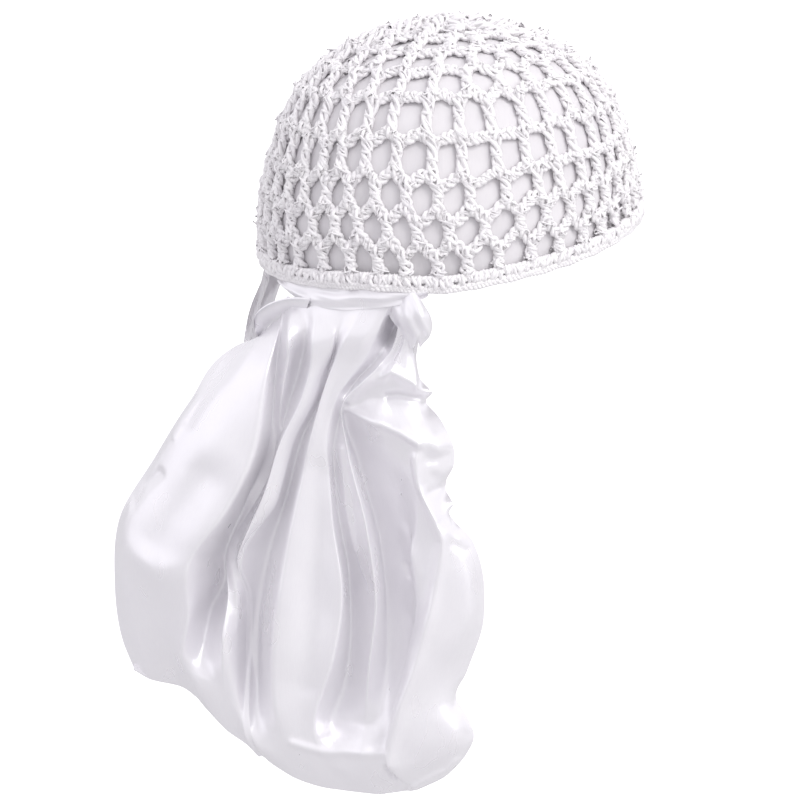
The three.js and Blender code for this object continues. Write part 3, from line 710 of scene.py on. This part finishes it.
def post_strands(row):
    """Double crochet posts: a core, three strands that twist round it and one that wraps them."""
    axis, side, face = post_sides(row)
    count = len(axis)
    t = np.linspace(0, 1, 13)
    end = np.abs(2 * t - 1)
    centre = post_line(row, t) + face[:, None] * (POST_BOW * np.sin(math.pi * t))[None, :, None]
    source = np.random.default_rng(200 + row)
    turns = source.uniform(0.7, 1.05, count)
    start = source.uniform(0, 2 * math.pi, count)
    spread = POST_WIDE + TOP_EXTRA * (1 - ease(row, 0, 3)) + POST_FLARE * end ** 2.5
    core = centre[:, ::2] - CORE_SUNK * face[:, None]
    parts = [tubes(core, POST_CORE + 0.5 * end[::2] ** 2, 5, face[:, None])]
    for strand in range(3):
        phase = 2 * math.pi * turns[:, None] * t + start[:, None] + 2 * math.pi / 3 * strand
        path = wound(centre, side, face, phase, spread, POST_FLATNESS * spread)
        parts.append(tubes(path, YARN * (1.0 - 0.15 * end), 5, face[:, None]))
    middle = source.uniform(0.3, 0.42, count)
    s = np.linspace(0, 1, 14)
    level = middle[:, None] + 0.2 * s[None]
    phase = 2 * math.pi * 1.3 * s[None] + start[:, None]
    taper = np.clip(6 * np.minimum(s, 1 - s), 0.15, 1)
    wrap = wound(post_line(row, level), side, face, phase, wide=2.0, deep=1.6, off=0.5)
    parts.append(tubes(wrap, YARN * 0.75 * taper, 5, axis[:, None]))
    return parts


def post_plies(row):
    """Loose plies that wind round each post and stand off it a little."""
    _, side, face = post_sides(row)
    count = len(side)
    t = np.linspace(-0.08, 1.08, 13)
    source = np.random.default_rng(600 + row)
    parts = []
    for way in (1, -1, 1):
        turns = source.uniform(0.6, 1.9, count)[:, None] * way
        phase = 2 * math.pi * (turns * t + source.random(count)[:, None])
        reach = 1.9 + 1.6 * np.abs(2 * t - 1) ** 2.5 + source.uniform(-0.4, 0.5, (count, len(t)))
        path = wound(post_line(row, t), side, face, phase, reach, POST_FLATNESS * reach, off=0.6)
        parts.append(tubes(path, FIBRE, 4, face[:, None]))
    return parts


def loops(centre, axis, out, radius, thickness):
    """Small closed rings of yarn round axis."""
    turn = np.linspace(0, 2 * math.pi, 12, endpoint=False)
    first = unit(np.cross(axis, out))
    second = np.cross(first, axis)
    r = radius[:, None]
    path = (centre[:, None] + first[:, None] * (r * np.cos(turn))[..., None]
            + second[:, None] * (r * np.sin(turn))[..., None])
    return tubes(path, thickness, 5, axis[:, None], closed=True)


def knots(row):
    """The stitches at a post's ends: an open ring and a slack one below, and a loop at each end."""
    top, bottom, out = post_ends(row)
    axis, side, _ = post_sides(row)
    count = len(top)
    source = np.random.default_rng(300 + row)
    size = source.uniform(1.7, 2.5, count)
    tilt = unit(out + 0.35 * source.normal(size=(count, 3)))
    low = loops(bottom - axis * 1.2 + out * 0.8, tilt, axis, size, KNOT)
    high = loops(top + out * 0.2, side, axis, source.uniform(1.9, 2.3, count), KNOT)
    wrap_at = bottom + out * 0.2 + axis * 0.3
    wrap = loops(wrap_at, side, axis, source.uniform(1.8, 2.2, count), KNOT)
    lean = unit(side + 0.6 * source.normal(size=(count, 3)))
    slack_at = bottom - axis * 2.6 + side * source.uniform(-1.6, 1.6, (count, 1)) + out * 0.9
    slack = loops(slack_at, unit(out + 0.7 * lean), axis, source.uniform(1.1, 1.8, count), SLACK_KNOT)
    return [low, high, wrap, slack]


def make_net():
    chains = mesh_piece("net_chains", [p for ring in range(RINGS) for p in chain_strands(ring)], yarn)
    posts = mesh_piece("net_posts", [p for row in range(RINGS) for p in post_strands(row)], yarn)
    stitches = mesh_piece("net_knots", [p for row in range(RINGS) for p in knots(row)], yarn)
    plies = mesh_piece("net_plies", [chain_plies(ring) for ring in range(RINGS)]
                       + [p for row in range(RINGS) for p in post_plies(row)], yarn)
    for piece in (chains, posts, stitches, plies):
        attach(piece, "root")
    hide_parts("crochet_net")


# Crocheted rim band

def rim_plait(down, inset, pitch, size, steps):
    """A plait of three strands all the way round, at one level of the rim band."""
    angle = np.linspace(0, 360, steps, endpoint=False)
    turn = np.radians(angle)
    drift = handmade(angle, rim_arc(angle))[1]
    centre = rim_point(angle, down + 0.25 * drift, inset)
    out = crown_normal(angle, rim_arc(angle) + down)
    length = np.linalg.norm(np.roll(centre, -1, axis=0) - centre, axis=1).sum()
    plaits = round(length / pitch)
    loose = 1.1 * np.sin(turn * 11 + down) + 0.8 * np.sin(turn * 29 + 2 * down)
    uneven = size * (1 + 0.25 * np.sin(turn * 37 + down))
    side = across_path(centre, out)
    paths = plait(centre, side, out, turn * plaits + loose, uneven, 0.55 * uneven)
    return tubes(paths, YARN, 5, out, closed=True)


def rim_stitches():
    """Short slanted strands that fill the band between its plaits."""
    count = 230
    source = np.random.default_rng(5)
    t = np.linspace(0, 1, 8)
    parts = []
    for lean in (-1, 1):
        angle = np.arange(count) * 360 / count + source.uniform(-0.7, 0.7, count)
        spread = source.uniform(0.3, 2.6, count) * lean
        a = angle[:, None] + spread[:, None] * (t - 0.5)
        down = STITCH_TOP + STITCH_LENGTH * t + source.uniform(-1.0, 0.8, count)[:, None]
        bulge = 1.1 * np.sin(math.pi * t) + source.uniform(-0.7, 0.6, count)[:, None]
        path = rim_point(a, down, 0.9 - bulge)
        out = crown_normal(a, rim_arc(a) + down)
        thick = source.uniform(0.65, 1.0, count)[:, None] * np.clip(5 * np.minimum(t, 1 - t), 0.4, 1)
        parts.append(tubes(path, YARN * thick, 5, out))
    return parts


def make_rim():
    upper = rim_plait(down=-5.4, inset=1.2, pitch=6.5, size=0.9, steps=1150)
    lower = rim_plait(down=-1.1, inset=0.7, pitch=5.5, size=0.95, steps=1300)
    edge = mesh_piece("rim_plaits", [upper, lower], yarn)
    fill = mesh_piece("rim_stitches", rim_stitches(), yarn)
    for piece in (edge, fill):
        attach(piece, "root")
    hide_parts("rim_band")


# Satin lining

def make_lining():
    """A thin cap inside the net, a little slack and puckered, which ends behind the rim band."""
    angle = np.linspace(0, 360, 200, endpoint=False)
    share = np.linspace(0.002, 1, 90)
    arcs = share[:, None] * (rim_arc(angle)[None] - LINING_SHORT)
    angles = np.broadcast_to(angle, arcs.shape)
    a = np.radians(angles)
    small = ripple(40 * np.sin(a), arcs, seed=21, scale_x=16, scale_y=45) * 0.32
    large = ripple(60 * np.cos(a), arcs, seed=22, scale_x=30, scale_y=22) * 0.25
    edge_puckers = 0.3 * np.sin(a * 46 + arcs / 9) * ease(share, 0.75, 1)[:, None]
    slack = (small + large) * ease(arcs, 5, 30) + edge_puckers
    grid = crown_point(angles, arcs, LINING_DEPTH + LINING_SLACK * slack)
    piece = mesh_piece("lining_cap", [grid_part(grid, closed=True)], lining_satin_shaded)
    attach(piece, "root")
    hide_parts("lining")


# Tail band

def make_band():
    """The satin strip under the rim, into which the tail is gathered. It narrows at its ends."""
    angle = np.linspace(TAIL_BAND_FROM, TAIL_BAND_TO, 220)
    turn = np.linspace(-0.9 * math.pi, 0.9 * math.pi, 60)[:, None]
    share = (angle - TAIL_BAND_FROM) / (TAIL_BAND_TO - TAIL_BAND_FROM)
    height = TAIL_BAND_HEIGHT * (0.3 + 0.7 * np.sin(math.pi * share) ** 0.7)
    face = np.sign(np.cos(turn)) * np.abs(np.cos(turn)) ** 0.6
    down = (1 - np.sin(turn)) / 2
    pleats = BAND_PLEATS * np.sin(3 * math.pi * down + 4.5 * share + 0.3)
    pucker = ripple(angle, 9 * np.sin(turn) + 0.35 * angle, seed=31, scale_x=18, scale_y=9) * 0.4
    depth = BAND_BULGE * face + (pleats + pucker) * np.maximum(face, 0)
    angles = np.broadcast_to(angle, depth.shape)
    grid = rim_point(angles, BAND_TOP + height * down, BAND_INSET - depth)
    piece = mesh_piece("tail_gather_band", [grid_part(grid)], satin)
    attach(piece, "root")
    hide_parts("tail_band")


# Tail

TURN = math.radians(TAIL_TURN)
ACROSS = np.array([-math.cos(TURN), -math.sin(TURN), 0])
OUT = np.array([-math.sin(TURN), math.cos(TURN), 0])
NAPE_EDGE = rim_point(0.0, RIM_LIFT, TAIL_INSET)


def fold_line(rim, line, rows):
    """The drop, across and out of a fold line at shares of its length."""
    points = np.array(line, float)
    if rim is not None:
        start = rim_point(float(rim), TAIL_TOP + rim_lift(rim), TAIL_INSET) - NAPE_EDGE
        points = np.vstack([(-start[2], start @ ACROSS, start @ OUT), points])
    first, last = points[0], points[-1]
    shares = (points[:, 0] - first[0]) / (last[0] - first[0])
    hang = np.minimum(rows, 1)
    tuck = np.maximum(0, rows - 1) / (TUCK - 1)
    across = curve(shares, points[:, 1], hang)
    levels = np.append(shares, TUCK)
    out = curve(levels, np.append(points[:, 2], last[2] - TUCK_DEPTH), rows, limited=True)
    return first[0] + (last[0] - first[0]) * hang - TUCK_RISE * tuck, across, out


def crease(across, drop, line, width, height):
    """How far a crease along a line of points moves the cloth out at each place."""
    line = np.array(line, float)
    nearest = np.full(across.shape, np.inf)
    for (x0, y0), (x1, y1) in zip(line, line[1:]):
        dx, dy = x1 - x0, y1 - y0
        t = np.clip(((across - x0) * dx + (drop - y0) * dy) / (dx * dx + dy * dy), 0, 1)
        nearest = np.minimum(nearest, np.hypot(across - x0 - t * dx, drop - y0 - t * dy))
    return height * np.exp(-(nearest / width) ** 2)


def tail_grid(columns, rows):
    """Points of the tail at fold indices (columns) and shares of its length (rows)."""
    lines = np.array([fold_line(rim, line, rows) for _, rim, _, line in FOLDS])
    index = np.arange(len(FOLDS))
    crisp = [row[2] for row in FOLDS]
    drop = curve(index, lines[:, 0], columns).T
    across = curve(index, lines[:, 1], columns).T
    out = curve(index, lines[:, 2], columns, limited=True, crisp=crisp).T
    last = len(FOLDS) - 1
    tucked = np.maximum(0, rows - 1)[:, None] / (TUCK - 1)
    inner = ease(columns, 0, TUCK_FADE) * (1 - ease(columns, last - TUCK_FADE, last))
    out = out + TUCK_DEPTH * tucked * (1 - TUCK_SHARE * inner)
    gathered = (ease(columns, *PUFF_BEGINS) * (1 - ease(columns, *PUFF_ENDS)))[None]
    out = out + PUFF * gathered * np.exp(-((drop - PUFF_DROP) / PUFF_SPREAD) ** 2)
    for _, line, width, height in CREASES:
        out = out + crease(across, drop, line, width, height)
    return across, out, drop


def curl_grid():
    """Points of the turned corner, from the hollow up to the hem and over its rolled lip."""
    table = np.array(CURL, float)
    places = np.linspace(0, len(CURL) - 1, 90)
    hem_across, hem_drop, hem_out, across, drop, out = curve(np.arange(len(CURL)), table, places).T
    rise = np.linspace(0, 1, 24)[:, None]
    bend = np.sin(rise * math.pi / 2)
    lip = np.linspace(0.2, math.pi, 10)[:, None]
    across = np.vstack([across + (hem_across - across) * rise, hem_across + 0 * lip])
    drop = np.vstack([drop + (hem_drop - drop) * rise, hem_drop - LIP * np.sin(lip)])
    out = np.vstack([out + (hem_out - out) * bend, hem_out + LIP * (1 - np.cos(lip))])
    return across, out, drop


def tail_points(across, out, drop):
    place = NAPE_EDGE + across[..., None] * ACROSS + out[..., None] * OUT
    place[..., 2] -= drop
    return place


def make_tail():
    """The long sheet through its fold lines, with its tucked hem and its turned corner."""
    columns = np.linspace(0, len(FOLDS) - 1, COLUMNS_PER_FOLD * (len(FOLDS) - 1) + 1)
    hanging_rows = np.linspace(0, HEM_FROM, 250, endpoint=False)
    rows = np.concatenate([hanging_rows, np.linspace(HEM_FROM, TUCK, 70)])
    across, out, drop = tail_grid(columns, rows)
    waves = ripple(across, drop, seed=42, scale_x=26, scale_y=60)
    out = out + TAIL_WAVES * waves * ease(rows, 0.1, 0.4)[:, None]
    grid = tail_points(across, out, drop)
    curl = tail_points(*curl_grid())
    piece = mesh_piece("tail_cloth", [grid_part(grid), grid_part(curl)], satin)
    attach(piece, "root")
    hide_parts("tail")


# Corner flap

def make_corner():
    """A small flap of satin that bulges out from under the rim and curls back at its right side."""
    levels = np.linspace(0, len(CORNER) - 1, 80)
    drop, left, right, bulge = curve(np.arange(len(CORNER)), np.array(CORNER, float), levels).T
    turn = np.linspace(0, CORNER_TURN, 70)
    across = left[:, None] + (right - left)[:, None] * np.sin(turn * math.pi / 2)
    out = CORNER_OUT + bulge[:, None] * (1.3 * np.sin(turn * math.pi * 0.8) - 0.5 * turn)
    drop = drop[:, None] + 1.5 * np.sin(2.2 * math.pi * turn)
    out = out + 0.6 * ripple(across, drop, seed=51, scale_x=9, scale_y=22)
    grid = tail_points(across, out, drop)
    piece = mesh_piece("corner_flap", [grid_part(grid)], satin)
    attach(piece, "root")
    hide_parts("corner_frill")


# Side tie

def make_tie():
    """The satin strap that hangs from the left of the rim and narrows as it passes behind the tail."""
    columns = np.linspace(-1, 1, 41)
    drops = [s[0] for s in TIE_SECTIONS]
    down = np.linspace(drops[0], drops[-1], 90)
    x, y, width, turn = curve(drops, np.array([s[1:] for s in TIE_SECTIONS]), down).T
    facing = np.radians(turn)[:, None]
    half = width[:, None] / 2 * columns[None]
    wrinkles = 0.4 * ripple(half, down[:, None], seed=61, scale_x=10, scale_y=40)
    crumple = TIE_CRUMPLE * np.cos(1.5 * math.pi * columns)[None] + wrinkles
    level = np.broadcast_to((NAPE_EDGE[2] - down + TIE_RISE)[:, None], half.shape)
    hanging = np.stack([x[:, None] + half * np.cos(facing) + crumple * np.sin(facing),
                        y[:, None] - half * np.sin(facing) + crumple * np.cos(facing), level], axis=-1)
    root_angle = TIE_TO + (TIE_FROM - TIE_TO) * (columns + 1) / 2
    root = rim_point(root_angle, TIE_ROOT_DOWN, TIE_ROOT_INSET)
    blend = np.linspace(0, 1, 12, endpoint=False)[:, None, None]
    grid = np.concatenate([root * (1 - blend) + hanging[0] * blend, hanging])
    piece = mesh_piece("side_tie", [grid_part(grid)], satin)
    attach(piece, "root")
    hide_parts("left_tie")


# Stage, lights and camera

def direction(azimuth, elevation):
    """The way from the object to a viewer or light at an azimuth and elevation."""
    a, e = math.radians(azimuth), math.radians(elevation)
    return Vector((math.sin(a) * math.cos(e), -math.cos(a) * math.cos(e), math.sin(e)))


def place_facing(name, data, aim, back, distance):
    """A camera or light that looks at aim from a distance along back."""
    holder = bpy.data.objects.new(name, data)
    holder.location = aim + back * distance
    holder.rotation_mode = "QUATERNION"
    holder.rotation_quaternion = (-back).to_track_quat("-Z", "Y")
    bpy.context.scene.collection.objects.link(holder)
    return holder


def make_camera():
    """The camera in the photograph's direction. Returns the point that it looks at."""
    a = math.radians(CAMERA_AZIMUTH)
    back = direction(CAMERA_AZIMUTH, CAMERA_ELEVATION)
    right = Vector((math.cos(a), math.sin(a), 0))
    up = back.cross(right)
    widest = Vector((0, 0, WIDEST_Z * MM))
    middle = PHOTO_SIZE / 2
    scale = PHOTO_PIXELS_PER_MM / MM
    aim = (widest + right * (middle - CROWN_PIXEL[0]) / scale
           + up * (CROWN_PIXEL[1] - middle) / scale)
    camera = bpy.data.cameras.new("camera")
    camera.sensor_width = SENSOR_WIDTH
    camera.lens = scale * CAMERA_DISTANCE * SENSOR_WIDTH / PHOTO_SIZE
    camera.clip_end = 100
    bpy.context.scene.camera = place_facing("camera", camera, aim, back, CAMERA_DISTANCE)
    return aim


def area_light(aim, name, turn, elevation, distance, size, power, colour):
    """A soft square light that faces aim, from a direction turned from the camera's."""
    light = bpy.data.lights.new(name, "AREA")
    light.shape = "SQUARE"
    light.size = size
    light.energy = power
    light.color = colour
    place_facing(name, light, aim, direction(CAMERA_AZIMUTH + turn, elevation), distance)


def make_floor():
    half = FLOOR_HALF
    mesh = bpy.data.meshes.new("floor")
    mesh.from_pydata([(-half, -half, 0), (half, -half, 0), (half, half, 0), (-half, half, 0)], [],
                     [(0, 1, 2, 3)])
    n = Nodes("floor_paper")
    place = n.add("ShaderNodeTexCoord").outputs["Object"]
    n.link(n.ramp(n.noise(place, scale=3.0), low=(0.62, 0.62, 0.62), high=(0.64, 0.64, 0.64)),
           n.shader.inputs["Base Color"])
    seen = n.add("ShaderNodeLightPath").outputs["Is Camera Ray"]
    n.link(n.math("MULTIPLY", seen, FLOOR_GLOW), n.shader.inputs["Emission Strength"])
    n.set(Roughness=0.9, Specular_IOR_Level=0.1, Emission_Color=(1, 1, 1, 1))
    mesh.materials.append(n.material)
    floor = bpy.data.objects.new("floor", mesh)
    floor.location = (0, 0, FLOOR_Z * MM)
    bpy.context.scene.collection.objects.link(floor)


def make_world():
    world = bpy.data.worlds.new("studio")
    world.use_nodes = True
    background = world.node_tree.nodes["Background"]
    background.inputs["Color"].default_value = (*WORLD_COLOUR, 1)
    background.inputs["Strength"].default_value = WORLD_STRENGTH
    bpy.context.scene.world = world


aim = make_camera()
make_floor()
make_world()
for light in LIGHTS:
    area_light(aim, **light)
bpy.context.scene.view_settings.view_transform = "Standard"

make_lining()
make_net()
make_rim()
make_band()
make_tail()
make_corner()
make_tie()
